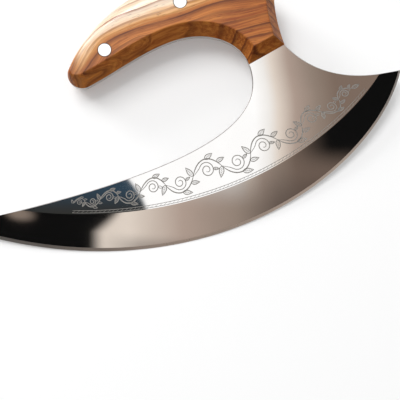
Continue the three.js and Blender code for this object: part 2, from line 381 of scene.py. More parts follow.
def steel_finish(name, colour, blur, streak_blur, streak_mm):
    finish, place = start_finish(name)
    streaks = grain(*split(place), STREAK_SCALES, detail=3)
    cloud = noise(place, CLOUD_SCALE)
    roughness = blur + (streaks - 0.5) * streak_blur + (cloud - 0.5) * streak_blur * CLOUD_BLUR
    shaded = tuple(CLOUD_SHADE * part for part in colour[:3]) + (1,)
    tone = blend(fade(cloud, *CLOUD_RANGE), colour, shaded)
    end_finish(place, Base_Color=tone, Metallic=1.0, Roughness=roughness,
               Normal=bump(streaks, streak_mm))
    return finish


mirror_flat = steel_finish("mirror_flat", STEEL, blur=0.035, streak_blur=0.02, streak_mm=0.0002)
mirror_bevel = steel_finish("mirror_bevel", STEEL, blur=0.04, streak_blur=0.03, streak_mm=0.0003)
honed_edge = steel_finish("honed_edge", HONED_STEEL, blur=0.3, streak_blur=0.12, streak_mm=0.004)
satin_spine = steel_finish("satin_spine", SPINE_STEEL, blur=0.34, streak_blur=0.12, streak_mm=0.003)
print("steel finishes: flats, bevel, edge, spine")

# %% [markdown]
# ## Meshes from rings
# The plate, the grinder's cuts and the scales are all stacks of rings with equally many points. One
# function joins such rings into a closed mesh, and tags its faces with the finish that they take. Cuts are
# booleans, as a maker grinds and drills a blank, so that each cut leaves its own finish on the steel. A
# boolean leaves points that all but touch, as a file leaves burrs, so the mesh is welded after its cuts.

# %% Lofts and cuts
WELD_GAP = 0.002
STRAIGHT = 10


def skin(rings, first=0):
    """The faces of a closed stack of rings: two caps, then the sides. Corners count up from first."""
    count = len(rings[0])
    top = first + (len(rings) - 1) * count
    faces = [tuple(range(first + count - 1, first - 1, -1)), tuple(range(top, top + count))]
    for a in range(first, top, count):
        for i in range(count):
            j = (i + 1) % count
            faces.append((a + i, a + j, a + j + count, a + i + count))
    return faces


def loft(name, rings, side_finish, cap_finish):
    """A closed mesh over rings of 3-D points. side_finish gives a finish slot per side of a ring."""
    faces = skin(rings)
    sides = [side_finish[i % len(side_finish)] for i in range(len(rings[0]))]
    mesh = bpy.data.meshes.new(name)
    mesh.from_pydata([point for ring in rings for point in ring], [], faces)
    mesh.polygons.foreach_set("material_index", [cap_finish] * 2 + sides * (len(rings) - 1))
    return mesh


def on_bench(mesh):
    """An object that is still in the plan's millimetres, to cut or to cut with."""
    blank = bpy.data.objects.new(mesh.name, mesh)
    bpy.context.collection.objects.link(blank)
    return blank


def weld(mesh):
    """Join points that a cut leaves almost on one another, and drop those that only halve an edge."""
    shape = bmesh.new()
    shape.from_mesh(mesh)
    bmesh.ops.remove_doubles(shape, verts=shape.verts, dist=WELD_GAP)
    bmesh.ops.dissolve_degenerate(shape, edges=shape.edges, dist=WELD_GAP)
    between_two = [point for point in shape.verts if len(point.link_edges) == 2]
    straight = [point for point in between_two if point.calc_edge_angle(0) < math.radians(STRAIGHT)]
    bmesh.ops.dissolve_verts(shape, verts=straight)
    shape.to_mesh(mesh)
    shape.free()


def cut_away(blank, cutters):
    for cutter in cutters:
        step = blank.modifiers.new(cutter.name, "BOOLEAN")
        step.operation = "DIFFERENCE"
        step.solver = "EXACT"
        step.material_mode = "INDEX"
        step.object = cutter
    made = blank.evaluated_get(bpy.context.evaluated_depsgraph_get())
    rest = bpy.data.meshes.new_from_object(made)
    blank.modifiers.clear()
    weld(rest)
    blank.data = rest
    for cutter in cutters:
        bpy.data.objects.remove(cutter)


print("points closer than", WELD_GAP, "mm are welded")

# %% Off the bench
CREASE = 30


def lay_down(mesh, frame_of_mesh):
    """Keep each point's millimetres for the finishes, and move the mesh to its place in metres."""
    kept = mesh.attributes.new("plan", "FLOAT_VECTOR", "POINT")
    kept.data.foreach_set("vector", [value for point in mesh.vertices for value in point.co])
    mesh.transform(frame_of_mesh @ Matrix.Scale(MM, 4))


def finished(blank, name, node, crease=CREASE):
    """Take a piece off the bench: set its creases, lay it down and join it to the frame."""
    shape = bmesh.new()
    shape.from_mesh(blank.data)
    for line in shape.edges:
        same_finish = len({face.material_index for face in line.link_faces}) == 1
        line.smooth = same_finish and line.calc_face_angle(0) < math.radians(crease)
    for face in shape.faces:
        face.smooth = True
    shape.to_mesh(blank.data)
    shape.free()
    lay_down(blank.data, KNIFE)
    blank.name = name
    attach(blank, "root")
    if node:
        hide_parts(node)
    print(name, len(blank.data.polygons), "faces")


print("faces that meet at more than", CREASE, "degrees keep a crease")

# %% [markdown]
# ## Pin holes
# The pins go through both scales and the tang, so the three are drilled alike, a tenth of a millimetre
# wider than a pin all round.

# %% Drill
PIN_CLEARANCE = 0.1
BOND_LINE = 0.15
CUT_MARGIN = 6.0
PIN_SIDES = 72
half_plate = PLATE / 2


def circle(centre, radius, z):
    turns = [2 * math.pi * i / PIN_SIDES for i in range(PIN_SIDES)]
    return [(centre.x + radius * math.cos(a), centre.y + radius * math.sin(a), z) for a in turns]


def scale_height(level):
    """Height over the middle of the plate of a scale's level, 0 at the tang and 1 at its outer face."""
    return half_plate + BOND_LINE + level * SCALE_THICKNESS


def drills(wall_slot):
    radius = PIN_DIAMETER / 2 + PIN_CLEARANCE
    reach = scale_height(1) + CUT_MARGIN
    cutters = []
    for name, at in pin_places.items():
        rings = [circle(at, radius, -reach), circle(at, radius, reach)]
        cutters.append(on_bench(loft("drill_" + name, rings, [wall_slot], wall_slot)))
    return cutters


print("pins at, mm:", {name: (round(at.x, 1), round(at.y, 1)) for name, at in pin_places.items()})

# %% [markdown]
# ## Blade
# The blank is the plate's outline with a light chamfer along the spines, where a maker breaks the edge so
# that it doesn't cut the hand. Then each face is ground: a wide bevel that is broadest at the middle and
# a fine bevel that makes the edge. A bevel could be a sloped strip of faces, but near the tips it runs out
# over the spine, and cutting with a wedge finds that line by itself.

# %% Blank plate
FLAT, BEVEL, HONED, SPINE = range(4)
SPINE_CHAMFER = 0.3
TANG_CHAMFER = 0.05
SPINE_STEPS = 90

blade_outline = edge.points(EDGE_STEPS)[:-1] + right_spine.points(SPINE_STEPS)[:-1]
chamfers = [SPINE_CHAMFER] * len(blade_outline) + [TANG_CHAMFER] * len(tang)
blade_outline += tang + left_spine.points(SPINE_STEPS)[1:-1]
chamfers += [SPINE_CHAMFER] * (len(blade_outline) - len(chamfers))


def inset(outline, amounts):
    """The outline moved in by an amount at each point, so that its sides stay parallel."""
    moved = []
    for i, point in enumerate(outline):
        before = (point - outline[i - 1]).normalized()
        after = (outline[(i + 1) % len(outline)] - point).normalized()
        mitre = Vector((-before.y - after.y, before.x + after.x)) / (1 + before.dot(after))
        moved.append(point + mitre * amounts[i])
    return moved


inner = inset(blade_outline, chamfers)
plate_rings = [
    [(p.x, p.y, -half_plate) for p in inner],
    [(p.x, p.y, c - half_plate) for p, c in zip(blade_outline, chamfers)],
    [(p.x, p.y, half_plate - c) for p, c in zip(blade_outline, chamfers)],
    [(p.x, p.y, half_plate) for p in inner],
]
blade = on_bench(loft("blade_blank", plate_rings, [SPINE], FLAT))
for finish in (mirror_flat, mirror_bevel, honed_edge, satin_spine):
    blade.data.materials.append(finish)
print("blank plate:", len(blade_outline), "points round")

# %% Grinds
GRIND_LEFT, GRIND_MIDDLE, GRIND_RIGHT = 13.0, 17.8, 8.0
HONED_LEFT, HONED_MIDDLE, HONED_RIGHT = 1.5, 1.3, 0.9
HONED_SLOPE = 0.1875
EDGE_LAND = 0.1


def swell(t, left, middle, right):
    """A width that runs through three values at the left, the middle and the right of the edge."""
    lift = 2 * middle - (left + right) / 2
    return left * (1 - t) ** 2 + lift * 2 * t * (1 - t) + right * t * t


def grind_width(t):
    return swell(t, GRIND_LEFT, GRIND_MIDDLE, GRIND_RIGHT)


def grind_section(t, side):
    """What the grinder takes off one face: points of (distance in from the edge, height)."""
    honed_width = swell(t, HONED_LEFT, HONED_MIDDLE, HONED_RIGHT)
    shoulder = EDGE_LAND / 2 + HONED_SLOPE * honed_width
    wide_slope = (half_plate - shoulder) / (grind_width(t) - honed_width)
    over = half_plate + wide_slope * CUT_MARGIN
    section = [
        (-CUT_MARGIN, EDGE_LAND / 2 - HONED_SLOPE * CUT_MARGIN),
        (honed_width, shoulder),
        (grind_width(t) + CUT_MARGIN, over),
        (-CUT_MARGIN, over),
    ]
    if side > 0:
        return section
    return [(distance, -height) for distance, height in (section[1], section[0], section[3], section[2])]


def grind(side):
    """The wedge that is cut off one face. It runs past the tips at both ends."""
    rings = []
    for i in range(EDGE_STEPS + 1):
        t = i / EDGE_STEPS
        overrun = CUT_MARGIN * ((i == EDGE_STEPS) - (i == 0))
        at = edge.point(t) + edge.along(t) * overrun
        section = [(at + edge.inward(t) * distance, height) for distance, height in grind_section(t, side)]
        rings.append([(p.x, p.y, height) for p, height in section])
    sides = [HONED, BEVEL, SPINE, SPINE] if side > 0 else [HONED, SPINE, SPINE, BEVEL]
    return on_bench(loft("grind", rings, sides, SPINE))


cut_away(blade, [grind(1), grind(-1)] + drills(SPINE))
finished(blade, "blade_ground", "blade")

# %% [markdown]
# ## Etched ornament
# The front of the blade has fine etched lines in a band over the grind line. Here they are a plain vine
# scroll, as on old plates and prints: a stem that swings from side to side, with a curl and leaves in each
# swing, over a rope border. Etching leaves dull grey lines, which keep their tone where the mirror round
# them turns from white to black. Lines this fine blur in a picture, so each stroke is a ribbon of faces
# that stands a few hundredths of a millimetre proud.

# %% Band along the grind line
BAND_START, BAND_END = 0.165, 0.9
BAND_STEPS = 400


def over_grind(t, height):
    return edge.point(t) + edge.inward(t) * (grind_width(t) + height)


band_shares = [BAND_START + (BAND_END - BAND_START) * i / BAND_STEPS for i in range(BAND_STEPS + 1)]
band_walk = [0.0]
for a, b in zip(band_shares, band_shares[1:]):
    band_walk.append(band_walk[-1] + (over_grind(b, 0) - over_grind(a, 0)).length)
BAND_LENGTH = band_walk[-1]


def on_band(spot):
    """The place on the plan of a spot that is given as (length along the band, height over the grind)."""
    i = min(max(bisect(band_walk, spot.x), 1), BAND_STEPS)
    part = (spot.x - band_walk[i - 1]) / (band_walk[i] - band_walk[i - 1])
    return over_grind(band_shares[i - 1] + part * (band_shares[i] - band_shares[i - 1]), spot.y)


print("band length, mm:", round(BAND_LENGTH, 1))

# %% Strokes
STEM_LINE, LEAF_LINE, VEIN_LINE = 0.55, 0.42, 0.26
STROKE_PROUD = 0.03
END_THINNING, END_POWER = 0.55, 4
strokes = []


def stroke(spots, width):
    strokes.append(([on_band(spot) for spot in spots], width))


def ribbon(points, width):
    """The rings of a flat ribbon along points, which thins towards its ends."""
    rings = []
    for i, point in enumerate(points):
        along = (points[min(i + 1, len(points) - 1)] - points[max(i - 1, 0)]).normalized()
        from_middle = 2 * i / (len(points) - 1) - 1
        thinned = 1 - END_THINNING * from_middle ** END_POWER
        across = Vector((-along.y, along.x)) * (width * thinned / 2)
        sides = (point + across, point - across)
        top = [(p.x, p.y, half_plate + STROKE_PROUD) for p in sides]
        bottom = [(p.x, p.y, half_plate - STROKE_PROUD) for p in reversed(sides)]
        rings.append(top + bottom)
    return rings


print("stroke widths, mm:", STEM_LINE, LEAF_LINE, VEIN_LINE)

# %% Leaves
LEAF_OPEN, LEAF_LEAVE = 48, 0.5
LEAF_CLOSE, LEAF_ARRIVE = 22, 0.4
LEAF_STEPS = 10
LEAF_LINE_SHARE = 0.12
VEINED_LENGTH = 2.5
VEINS = 4
VEIN_FIRST, VEIN_GAP, VEIN_ANGLE = 0.22, 0.16, 42
VEIN_LENGTH, VEIN_SHRINK = 0.2, 0.035
MIDRIB = 0.85


def leaf(base, angle, length):
    """Two sides and, where there is room, a midrib with veins. The sizes are shares of its length."""
    tip = base + polar(angle, length)
    veins = VEINS if length > VEINED_LENGTH else 0
    for side in (1, -1):
        side_line = Batten(base, (angle + side * LEAF_OPEN, length * LEAF_LEAVE),
                           tip, (angle - side * LEAF_CLOSE, length * LEAF_ARRIVE))
        stroke(side_line.points(LEAF_STEPS), min(LEAF_LINE, LEAF_LINE_SHARE * length))
        for i in range(veins):
            root = base + polar(angle, length * (VEIN_FIRST + VEIN_GAP * i))
            vein = polar(angle + side * VEIN_ANGLE, length * (VEIN_LENGTH - VEIN_SHRINK * i))
            stroke([root, root + vein], VEIN_LINE)
    if veins:
        stroke([base, base + polar(angle, length * MIDRIB)], VEIN_LINE)


print("leaves over", VEINED_LENGTH, "mm have", VEINS, "pairs of veins")

# %% Swings of the vine
SCROLL_LEFT, SCROLL_MIDDLE, SCROLL_RIGHT = 4.4, 13.8, 6.0
ROPE_LOW, ROPE_HIGH, ROPE_TWIST = 0.6, 1.7, 2.0
STEM_CLEAR, STEM_SHARE = 0.6, 0.6
STEM_ANGLE, STEM_REACH, STEM_STEPS, STEM_LINE_SHARE = 62, 0.58, 24, 0.07
CURL_RISE, CURL_START, CURL_TURN, CURL_STEPS = 0.05, 140, 640, 44
CURL_SIZE, CURL_TIGHTENS, CURL_LINE_SHARE = 0.25, 0.8, 0.05
SHOOT_LEAVE, SHOOT_OUT = 30, 0.14
SHOOT_ARRIVE, SHOOT_IN = 50, 0.1
SHOOT_STEPS = 8
FIRST_LEAF = 0.36
StemLeaf = namedtuple("StemLeaf", "at angle size")
STEM_LEAVES = [StemLeaf(0.52, 16, 0.34), StemLeaf(0.86, 8, 0.3)]
CURL_LEAF_STEP, CURL_LEAF_ANGLE, CURL_LEAF = 10, 20, 0.2


def scroll_height(along):
    return swell(along / BAND_LENGTH, SCROLL_LEFT, SCROLL_MIDDLE, SCROLL_RIGHT)


def on_stem(along):
    """Where one swing of the stem passes into the next."""
    return Vector((along, ROPE_HIGH + STEM_CLEAR + STEM_SHARE * scroll_height(along)))


def swing(start, end, side):
    """One swing of the stem, up (side 1) or down (side -1), with its curl and leaves."""
    left, right = on_stem(start), on_stem(end)
    size = end - start
    slope, reach = side * STEM_ANGLE, STEM_REACH * size
    stem = Batten(left, (slope, reach), right, (-slope, reach))
    stroke(stem.points(STEM_STEPS), min(STEM_LINE, STEM_LINE_SHARE * size))
    heart = (left + right) / 2 + Vector((0, side * CURL_RISE * size))
    curl = []
    for i in range(CURL_STEPS + 1):
        radius = CURL_SIZE * size * (1 - CURL_TIGHTENS * i / CURL_STEPS)
        curl.append(heart + polar(side * (CURL_START - CURL_TURN * i / CURL_STEPS), radius))
    shoot = Batten(left, (side * SHOOT_LEAVE, SHOOT_OUT * size),
                   curl[0], (side * SHOOT_ARRIVE, SHOOT_IN * size))
    stroke(shoot.points(SHOOT_STEPS)[:-1] + curl, min(LEAF_LINE, CURL_LINE_SHARE * size))
    for stem_leaf in STEM_LEAVES:
        leaf(stem.point(stem_leaf.at), side * stem_leaf.angle, stem_leaf.size * size)
    leaf(left, 180 - slope, FIRST_LEAF * size)
    leaf(curl[CURL_LEAF_STEP], -side * CURL_LEAF_ANGLE, CURL_LEAF * size)


print("a swing at the middle is", round(scroll_height(BAND_LENGTH / 2), 1), "mm high")

# %% Vine and rope
SCROLL_LENGTH = 1.12
LAST_LEAF_ANGLE, LAST_LEAF = 20, 0.6
ROPE_STEPS = 240
ROPE_SLANT = 0.7


def draw_vine():
    start, side = 0.0, 1
    while start + SCROLL_LENGTH * scroll_height(start) < BAND_LENGTH:
        end = start + SCROLL_LENGTH * scroll_height(start + scroll_height(start) / 2)
        swing(start, end, side)
        start, side = end, -side
    leaf(on_stem(start), side * LAST_LEAF_ANGLE, LAST_LEAF * scroll_height(start))


def draw_rope():
    for height in (ROPE_LOW, ROPE_HIGH):
        border = [Vector((BAND_LENGTH * i / ROPE_STEPS, height)) for i in range(ROPE_STEPS + 1)]
        stroke(border, VEIN_LINE)
    for i in range(int(BAND_LENGTH / ROPE_TWIST)):
        foot = Vector((i * ROPE_TWIST, ROPE_LOW))
        stroke([foot, foot + Vector((ROPE_TWIST * ROPE_SLANT, ROPE_HIGH - ROPE_LOW))], VEIN_LINE)


draw_vine()
draw_rope()
print("strokes:", len(strokes))

# %% Etched lines
ETCHED_DARK, ETCHED_PALE = srgb(128, 125, 121), srgb(150, 147, 142)
FROST_SCALE = 6.0


def etched_finish():
    finish, place = start_finish("etched_line")
    frost = noise(place, FROST_SCALE, detail=2)
    tone = blend(frost, ETCHED_DARK, ETCHED_PALE)
    end_finish(place, Base_Color=tone, Metallic=0.35, Roughness=0.6 + frost * 0.2,
               Normal=bump(frost, depth_mm=0.004))
    return finish


corners, faces = [], []
for points, width in strokes:
    rings = ribbon(points, width)
    faces += skin(rings, len(corners))
    corners += [corner for ring in rings for corner in ring]
etched_mesh = bpy.data.meshes.new("etched_vine")
etched_mesh.from_pydata(corners, [], faces)
etched_mesh.materials.append(etched_finish())
finished(on_bench(etched_mesh), "etched_vine", None)

# %% [markdown]
# ## Wood
# The scales are cut from one block, so their growth layers run on through faces, facets and shoulder. A
# flat picture of grain can't do that at the ridges. Here the layers are sheets in space: the pattern
# takes the place on the plan, arches over the grip, leans through the thickness and is warped by slow
# noise, so every face cuts it as a saw would. Eyes swell or dent the layers, as hidden knots do, and bend
# their lines into loops. Each layer is pale and darkens to a line at its end. Towards the crown the
# heartwood passes through honey into pale sapwood, with streaks over the border. Its near-white is partly
# the wood's own colour and partly a painted highlight on the crown's shoulder. The flats and the crown
# are polished. The facets are left as they were cut, so they have hardly any gloss.

# %% Growth layers
LAYER_LEAN = -0.5
SLOW_WARP, WAVY_WARP = 6.0, 0.9
LEFT_BEND, LEFT_BEND_FROM = 0.00022, 6.0
RIGHT_BEND, RIGHT_BEND_FROM = 0.0025, 25.0
HALO_RANGE, HALO = (0.2, 0.9), 0.4
LINE_RANGE, LINE = (0.66, 0.88), 0.6
LINE_CLOSES = (1.0, 0.92)
FAINTEST_LINE = 0.4
Eye = namedtuple("Eye", "middle reach rise calm")
EYES = [
    Eye((-20.5, 43.4, 5.0), (17.0, 9.0, 7.5), 6.0, 0.2),
    Eye((-1.5, 49.0, 8.0), (8.0, 6.0, 5.0), -3.5, 0.0),
]
EYE_RIM = 0.25


def oval_distance(place, middle, reach):
    """Distance from the middle of an oval, 1 at its rim."""
    away = place.node("ShaderNodeVectorMath", {"operation": "SUBTRACT"}, {0: place, 1: middle})
    away = place.node("ShaderNodeVectorMath", {"operation": "DIVIDE"}, {0: away, 1: reach})
    return place.node("ShaderNodeVectorMath", {"operation": "LENGTH"}, {0: away}, out="Value")


def layer_field(place, slow, wavy):
    """The height of a place among the growth layers, and how calm their lines are there."""
    x, y, z = split(place)
    to_left = x.math("MAXIMUM", LEFT_BEND_FROM - x, 0.0)
    to_right = x.math("MAXIMUM", x - RIGHT_BEND_FROM, 0.0)
    height = y + z * LAYER_LEAN + (slow - 0.5) * SLOW_WARP + (wavy - 0.5) * WAVY_WARP
    height = height + to_left * to_left * to_left * LEFT_BEND + to_right * to_right * RIGHT_BEND
    calm = 0
    for eye in EYES:
        inside = fade(oval_distance(place, eye.middle, eye.reach), 1.0, 0.0)
        height = height + inside * eye.rise
        calm = calm + fade(inside, 0.0, EYE_RIM) * eye.calm
    return height, calm


def layer_lines(height, thickness, seed):
    """How dark the end of a growth layer is: a soft halo, then a thin line. No two lines are alike."""
    layers = height / thickness
    through = layers.math("FRACT", layers)
    count = layers.math("FLOOR", layers) + seed
    strength = count.node("ShaderNodeTexWhiteNoise", {"noise_dimensions": "1D"}, {"W": count})
    dark = fade(through, *HALO_RANGE) * HALO + fade(through, *LINE_RANGE) * LINE
    return dark * fade(through, *LINE_CLOSES) * (FAINTEST_LINE + strength * (1 - FAINTEST_LINE))


print("eyes in the wood:", len(EYES))

# %% Wood colours
# Near-white sapwood colour: partly the wood's own colour and partly a painted highlight on the crown's
# shoulder.
WOOD_SAP_AND_HIGHLIGHT = srgb(250, 229, 201)
WOOD_HONEY = srgb(232, 172, 100)
SAP_LINE = srgb(158, 88, 36)
WOOD_PALE = srgb(206, 127, 54)
WOOD_WARM = srgb(136, 60, 14)
WOOD_LINE = srgb(82, 32, 6)
WOOD_PIN_RING = srgb(52, 28, 14)
PIN_RING_REACH, PIN_RING_FULL, PIN_RING_SHARE = 0.45, 0.1, 0.8
# Where the pale sapwood with its painted highlight lies, and where it gives way again further round the
# crown.
SAP_HIGHLIGHT_START, SAP_HIGHLIGHT_FULL, SAP_HIGHLIGHT_AFTER_NOSE = 52.8, 58.0, (-33, -22)
SAP_HIGHLIGHT_END, SAP_HIGHLIGHT_GONE, SAP_HIGHLIGHT_LOSS = 64.0, 71.0, 0.7
SAP_HIGHLIGHT_STREAKS, SAP_HIGHLIGHT_STREAK_SHARE = (0.48, 0.66), 0.4
SAP_HIGHLIGHT_WARP = 9
HONEY_START, HONEY_FULL, HONEY_AFTER_NOSE = 50.8, 54.3, (-36, -25)


def pin_ring(place):
    """How much darker the wood is in a thin ring close round the pins."""
    x, y = split(place)[:2]
    flat = join(x, y, 0.0)
    to_pin = None
    for at in pin_places.values():
        distance = flat.node("ShaderNodeVectorMath", {"operation": "DISTANCE"},
                             {0: flat, 1: (at.x, at.y, 0.0)}, out="Value")
        to_pin = distance if to_pin is None else to_pin.math("MINIMUM", to_pin, distance)
    rim = PIN_DIAMETER / 2
    return fade(to_pin, rim + PIN_RING_REACH, rim + PIN_RING_FULL)


def sapwood_and_highlight(sap_highlight_height, x):
    """How near the crown a place is, its share of pale sapwood, which also paints the crown's highlight,
    and its share of honey tone.
    """
    near_crown = fade(sap_highlight_height, SAP_HIGHLIGHT_START, SAP_HIGHLIGHT_FULL) * fade(x, *SAP_HIGHLIGHT_AFTER_NOSE)
    sap_and_highlight = near_crown * (1 - fade(sap_highlight_height, SAP_HIGHLIGHT_END, SAP_HIGHLIGHT_GONE) * SAP_HIGHLIGHT_LOSS)
    honey = fade(sap_highlight_height, HONEY_START, HONEY_FULL) * fade(x, *HONEY_AFTER_NOSE)
    return near_crown, sap_and_highlight, honey


print("sapwood from", SAP_HIGHLIGHT_START, "to", SAP_HIGHLIGHT_FULL, "mm up the layers")

# %% Wood
LAYER, LAYER_SEED, LEAST_LAYER = 4.6, 3.0, 0.6
FINE_LAYER, FINE_SEED, FINE_WARP, FINE_SHARE = 1.7, 40.0, 0.8, 0.2
SLOW_SCALES = (0.022, 0.05, 0.05)
WAVY_SCALES = (0.1, 0.25, 0.25)
PATCH_SCALES, PATCH_RANGE = (0.05, 0.4, 0.2), (0.3, 0.62)
FIBRE_SCALES, FIBRE_RANGE = (0.045, 1.1, 0.6), (0.36, 0.64)
PORE_SCALES, PORE_RANGE, PORE_SHARE = (0.22, 2.8, 2.8), (0.66, 0.73), 0.6
FIBRE_TONE, SLOW_TONE = 0.6, 0.3
RIDGE_LEVEL, FACET_LEVEL = 0.99, 0.93
FLAT_GLOSS = 0.25


def wood_finish():
    finish, place = start_finish("oiled_wood")
    x, y, z = split(place)
    slow = grain(x, y, z, SLOW_SCALES, detail=1)
    wavy = grain(x, y, z, WAVY_SCALES, detail=3)
    height, calm = layer_field(place, slow, wavy)
    patchy = fade(grain(x, height, z, PATCH_SCALES, detail=2), *PATCH_RANGE)
    strength = LEAST_LAYER + patchy * (1 - LEAST_LAYER)
    lines = layer_lines(height, LAYER, LAYER_SEED) * strength * (1 - calm)
    fine_lines = layer_lines(height + (wavy - 0.5) * FINE_WARP, FINE_LAYER, FINE_SEED)
    fibres = grain(x, height, z, FIBRE_SCALES, detail=5, roughness=0.65)
    pores = fade(grain(x, height, z, PORE_SCALES, detail=1), *PORE_RANGE)
    from_tang = z.math("ABSOLUTE", z)
    sap_highlight_height = height + (from_tang - z) * LAYER_LEAN + (fibres - 0.5) * SAP_HIGHLIGHT_WARP
    near_crown, sap_and_highlight, honey = sapwood_and_highlight(sap_highlight_height, x)

    depth = fade(fibres, *FIBRE_RANGE) * FIBRE_TONE + fade(slow, *MIDTONES) * SLOW_TONE
    body = blend(honey, blend(depth, WOOD_PALE, WOOD_WARM), WOOD_HONEY)
    # Pale sapwood towards the crown, which also paints the highlight on its shoulder.
    body = blend(sap_and_highlight * (1 - fade(fibres, *SAP_HIGHLIGHT_STREAKS) * SAP_HIGHLIGHT_STREAK_SHARE), body, WOOD_SAP_AND_HIGHLIGHT)
    lined = blend(lines + fine_lines * FINE_SHARE, body, blend(honey, WOOD_LINE, SAP_LINE))
    pored = blend(pores * PORE_SHARE, lined, WOOD_LINE)
    # Darker wood in a thin ring round each pin.
    colour = blend(pin_ring(place) * PIN_RING_SHARE, pored, WOOD_PIN_RING)

    cut_side = fade(from_tang, scale_height(RIDGE_LEVEL), scale_height(FACET_LEVEL)) * (1 - near_crown)
    gloss = (FLAT_GLOSS + near_crown * (1 - FLAT_GLOSS)) * (1 - cut_side)
    relief = fibres * 0.5 - pores
    end_finish(place, Base_Color=colour, Roughness=0.3 + fibres * 0.1 + pores * 0.15,
               Specular_IOR_Level=0.06, Coat_Roughness=0.3, Coat_IOR=1.9, Coat_Weight=gloss,
               Normal=bump(relief, depth_mm=0.01))
    return finish


oiled_wood = wood_finish()
print("wood layers every", LAYER, "mm")

# %% [markdown]
# ## Scales
# Each scale is a stack of the handle's outlines, close together near the outer face so that the ridges are
# a little eased, as sanding leaves them. It runs past the neck and is sawn off there along a slanting
# plane. Then it is drilled for the pins.

# %% Scales
RISE_STEPS = 18
SAW_LEVELS = (-0.7, 1.7)
SCALE_CREASE = 28


def neck_saw(side):
    """The waste past the neck. Its upper side leans back over the handle."""
    square = NECK_SLANT + 90
    rings = []
    for level in SAW_LEVELS:
        left = NECK_LEFT - polar(NECK_SLANT, NECK_WIDTH) + polar(square, level * FACET_RUN)
        right = neck_right + polar(NECK_SLANT, NECK_WIDTH) + polar(square, level * FACET_RUN)
        back = polar(square, -2 * NECK_WIDTH)
        z = side * scale_height(level)
        rings.append([(p.x, p.y, z) for p in (left + back, right + back, right, left)])
    return on_bench(loft("neck_saw", rings if side > 0 else rings[::-1], [0], 0))


def make_scale(name, side):
    past_neck = Vector((0, -CUT_MARGIN))
    rings = []
    for k in range(RISE_STEPS + 1):
        rise = 90 * k / RISE_STEPS
        outline = handle_outline(rise)
        outline = [outline[0] + past_neck] + outline + [outline[-1] + past_neck]
        z = side * scale_height(math.sin(math.radians(rise)))
        rings.append([(p.x, p.y, z) for p in outline])
    scale = on_bench(loft(name, rings if side > 0 else rings[::-1], [0], 0))
    scale.data.materials.append(oiled_wood)
    cut_away(scale, [neck_saw(side)] + drills(0))
    finished(scale, name + "_wood", name, SCALE_CREASE)
    weighting = scale.modifiers.new("flat_faces", "WEIGHTED_NORMAL")
    weighting.keep_sharp = True


make_scale("front_scale", 1)
make_scale("back_scale", -1)

# %% [markdown]
# ## Pins
# The pins are steel rod, glued in, ground flush with the wood and polished with it. Polishing wears the
# softer wood a little faster, so the ends are very slightly domed and their rims are broken. A lathe
# profile turned round the pin's axis gives both.

# %% Pins
PIN_RECESS = 0.05
RIM = 0.12
DOME = 0.05
DOME_RINGS = (0.8, 0.6, 0.4, 0.2, 0.05)
PIN_BRIGHT, PIN_DULL = (0.9, 0.9, 0.89, 1), (0.85, 0.85, 0.84, 1)
SCRATCH_SCALE, PIN_CLOUD_SCALE = 3.0, 0.4


def pin_finish():
    finish, place = start_finish("polished_pin")
    scratches = noise(place, SCRATCH_SCALE, detail=4, roughness=0.7)
    tone = blend(fade(noise(place, PIN_CLOUD_SCALE), *MIDTONES), PIN_BRIGHT, PIN_DULL)
    end_finish(place, Base_Color=tone, Metallic=1.0, Roughness=0.14 + scratches * 0.12,
               Normal=bump(scratches, depth_mm=0.001))
    return finish


polished_pin = pin_finish()


def make_pin(name):
    at = pin_places[name]
    radius = PIN_DIAMETER / 2
    top = scale_height(1) - PIN_RECESS
    profile = [(radius, top - RIM), (radius - RIM, top)]
    profile += [(radius * share, top + DOME * (1 - share * share)) for share in DOME_RINGS]
    stack = [(r, -z) for r, z in reversed(profile)] + profile
    pin = on_bench(loft(name, [circle(at, r, z) for r, z in stack], [0], 0))
    pin.data.materials.append(polished_pin)
    finished(pin, name + "_polished", name)


for name in pin_places:
    make_pin(name)

# %% [markdown]
# ## Floor and room
# A plain white table in a grey room. The room lights the knife a little from all sides, so that no shade
# goes black. It is darker than the table, so that polished steel stands out against the white, and it is
# darkest low down, as rooms are, with soft patches, so that steel which is turned differently differs in
# tone. The table could be white by brighter lamps, but they would bleach the wood. So its paint is pale
# and glows faintly for the rays that look at it, and it is grey in the light that it throws back up.

# %% Floor
FLOOR_SIZE = 12.0
PAPER_BOUNCE, PAPER_SEEN, PAPER_GLOW = 0.55, 0.75, 0.22


def grey(level):
    return (level, level, level, 1)


def paper_finish():
    """White where it is seen, straight or in a mirror, and grey in the light that it throws back up."""
    finish, place = start_finish("white_paper")
    seen = 0
    for ray in ("Is Camera Ray", "Is Glossy Ray", "Is Transmission Ray"):
        seen = seen + place.node("ShaderNodeLightPath", out=ray)
    seen = seen.math("MINIMUM", seen, 1.0)
    paint = blend(seen, grey(PAPER_BOUNCE), grey(PAPER_SEEN))
    glow = blend(seen, grey(0.0), grey(PAPER_GLOW))
    end_finish(place, Base_Color=paint, Roughness=0.9, Specular_IOR_Level=0.0,
               Emission_Color=glow, Emission_Strength=1.0)
    return finish


floor_mesh = bpy.data.meshes.new("floor")
reach = FLOOR_SIZE / 2
floor_mesh.from_pydata([(-reach, -reach, 0), (reach, -reach, 0), (reach, reach, 0), (-reach, reach, 0)],
                       [], [(0, 1, 2, 3)])
floor_mesh.materials.append(paper_finish())
floor = bpy.data.objects.new("floor", floor_mesh)
bpy.context.collection.objects.link(floor)
print("floor", FLOOR_SIZE, "m wide")

# %% Room
ROOM_LOW, ROOM_HIGH = 0.1, 0.52
ROOM_PATCH_SCALE, ROOM_PATCH_DEPTH = 1.6, 1.4
ROOM_RISE = (0.0, 0.75)

